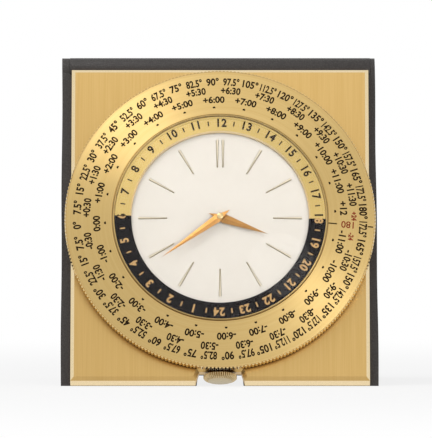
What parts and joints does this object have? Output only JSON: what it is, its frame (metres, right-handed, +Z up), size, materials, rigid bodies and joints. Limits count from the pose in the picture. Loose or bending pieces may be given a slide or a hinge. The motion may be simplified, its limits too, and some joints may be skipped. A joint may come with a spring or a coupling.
{
  "type": "world time clock",
  "caption": "Square brass table clock on a folding leather easel, with a white dial, a ring of hours that turns once a day and a reeded outer ring of numbered places to turn by hand.",
  "frame": {"origin": "centre of the overall box at the level of the table", "axes": "+Z up, -Y towards the viewer of the dial, +X to the viewer's right; the front leans back 18 degrees"},
  "size_m": [0.0886, 0.0734, 0.092],
  "materials": {
    "brushed_brass": "vertical brushed, lacquered",
    "turned_brass": "circular brushed, lacquered",
    "crown_brass": "polished with a knurled edge",
    "ring_brass": "satin, lower half lacquered black",
    "leather": "smooth dark calf with a soft sheen",
    "dial_enamel": "matt white lacquer",
    "marker_metal": "satin pale gold",
    "hand_gilt": "polished copper gilt, faceted",
    "crystal_glass": "clear polished dome",
    "steel": "polished",
    "wheel_brass": "fine satin",
    "plate_nickel": "nickel-plated brass, satin"
  },
  "bodies": {
    "stand": {"front_plate": "brushed_brass", "front_board": "leather", "hinge_pin": "steel", "movement_case": "turned_brass", "case_screws": "steel", "friction_spring": "steel", "snap_ring": "steel", "dial": "dial_enamel", "hour_markers": "marker_metal", "crystal": "crystal_glass", "main_plate": "plate_nickel", "barrel_arbor": "steel", "ratchet_wheel": "steel", "click": "steel", "train_bridge": "plate_nickel", "balance_cock": "plate_nickel", "bridge_screws": "steel", "back_cover": "turned_brass", "stem_tube": "steel"},
    "places": {"places_ring": "turned_brass"},
    "minutes": {"centre_wheel": "wheel_brass", "cannon_pinion": "steel", "minute_hand": "hand_gilt", "hand_nut": "hand_gilt"},
    "hours": {"hour_wheel": "wheel_brass", "hours_drive_wheel": "wheel_brass", "hour_hand": "hand_gilt"},
    "minute_wheel": {"minute_wheel": "wheel_brass"},
    "idler": {"hours_idler": "wheel_brass"},
    "day_ring": {"hours_ring": "ring_brass"},
    "barrel": {"mainspring_barrel": "wheel_brass"},
    "third": {"third_wheel": "wheel_brass"},
    "fourth": {"fourth_wheel": "wheel_brass"},
    "escape": {"escape_wheel": "steel"},
    "lever": {"pallet_lever": "steel"},
    "balance": {"balance_wheel": "wheel_brass"},
    "clutch": {"clutch_wheel": "steel"},
    "crown": {"winding_stem": "steel", "crown": "crown_brass"},
    "flap": {"easel_flap": "leather"}
  },
  "joints": [
    {"name": "places_turn", "type": "hinge", "parent": "stand", "child": "places", "pos_m": [0, -0.01996, 0.0458], "axis": [0, 0.9511, -0.309], "continuous": true},
    {"name": "minute_turn", "type": "hinge", "parent": "stand", "child": "minutes", "pos_m": [0, -0.01996, 0.0458], "axis": [0, 0.9511, -0.309], "continuous": true},
    {"name": "hour_turn", "type": "hinge", "parent": "stand", "child": "hours", "pos_m": [0, -0.01996, 0.0458], "axis": [0, 0.9511, -0.309], "continuous": true},
    {"name": "minute_wheel_turn", "type": "hinge", "parent": "stand", "child": "minute_wheel", "pos_m": [0.00393, -0.01768, 0.05283], "axis": [0, 0.9511, -0.309], "continuous": true},
    {"name": "idler_turn", "type": "hinge", "parent": "stand", "child": "idler", "pos_m": [0.01717, -0.02328, 0.03559], "axis": [0, 0.9511, -0.309], "continuous": true},
    {"name": "day_ring_turn", "type": "hinge", "parent": "stand", "child": "day_ring", "pos_m": [0, -0.01996, 0.0458], "axis": [0, 0.9511, -0.309], "continuous": true},
    {"name": "barrel_turn", "type": "hinge", "parent": "stand", "child": "barrel", "pos_m": [-0.00971, -0.01823, 0.05113], "axis": [0, 0.9511, -0.309], "continuous": true},
    {"name": "third_turn", "type": "hinge", "parent": "stand", "child": "third", "pos_m": [0.01016, -0.01882, 0.04931], "axis": [0, 0.9511, -0.309], "continuous": true},
    {"name": "fourth_turn", "type": "hinge", "parent": "stand", "child": "fourth", "pos_m": [0.01193, -0.02193, 0.03975], "axis": [0, 0.9511, -0.309], "continuous": true},
    {"name": "escape_turn", "type": "hinge", "parent": "stand", "child": "escape", "pos_m": [0.00333, -0.02346, 0.03503], "axis": [0, 0.9511, -0.309], "continuous": true},
    {"name": "lever_rock", "type": "hinge", "parent": "stand", "child": "lever", "pos_m": [-0.00258, -0.02378, 0.03404], "axis": [0, 0.9511, -0.309], "range_deg": [-5, 5]},
    {"name": "balance_swing", "type": "hinge", "parent": "stand", "child": "balance", "pos_m": [-0.00928, -0.02415, 0.03291], "axis": [0, 0.9511, -0.309], "range_deg": [-135, 135], "stiffness_Nm_per_rad": 0.000002},
    {"name": "crown_turn", "type": "hinge", "parent": "stand", "child": "clutch", "pos_m": [0, -0.0315, 0.00317], "axis": [0, -0.309, -0.9511], "continuous": true},
    {"name": "crown_pull", "type": "slide", "parent": "clutch", "child": "crown", "axis": [0, -0.309, -0.9511], "range_m": [0, 0.0012]},
    {"name": "flap_fold", "type": "hinge", "parent": "stand", "child": "flap", "pos_m": [0, 0.00131, 0.0883], "axis": [-1, 0, 0], "range_deg": [0, 36]}
  ],
  "couplings": [
    {"joint": "hour_turn", "follows": "minute_turn", "ratio": 0.083333},
    {"joint": "minute_wheel_turn", "follows": "minute_turn", "ratio": -0.33333},
    {"joint": "idler_turn", "follows": "minute_turn", "ratio": -0.16667},
    {"joint": "day_ring_turn", "follows": "minute_turn", "ratio": -0.041667},
    {"joint": "barrel_turn", "follows": "minute_turn", "ratio": -0.16667},
    {"joint": "third_turn", "follows": "minute_turn", "ratio": -8},
    {"joint": "fourth_turn", "follows": "minute_turn", "ratio": 60},
    {"joint": "escape_turn", "follows": "minute_turn", "ratio": -600}
  ]
}
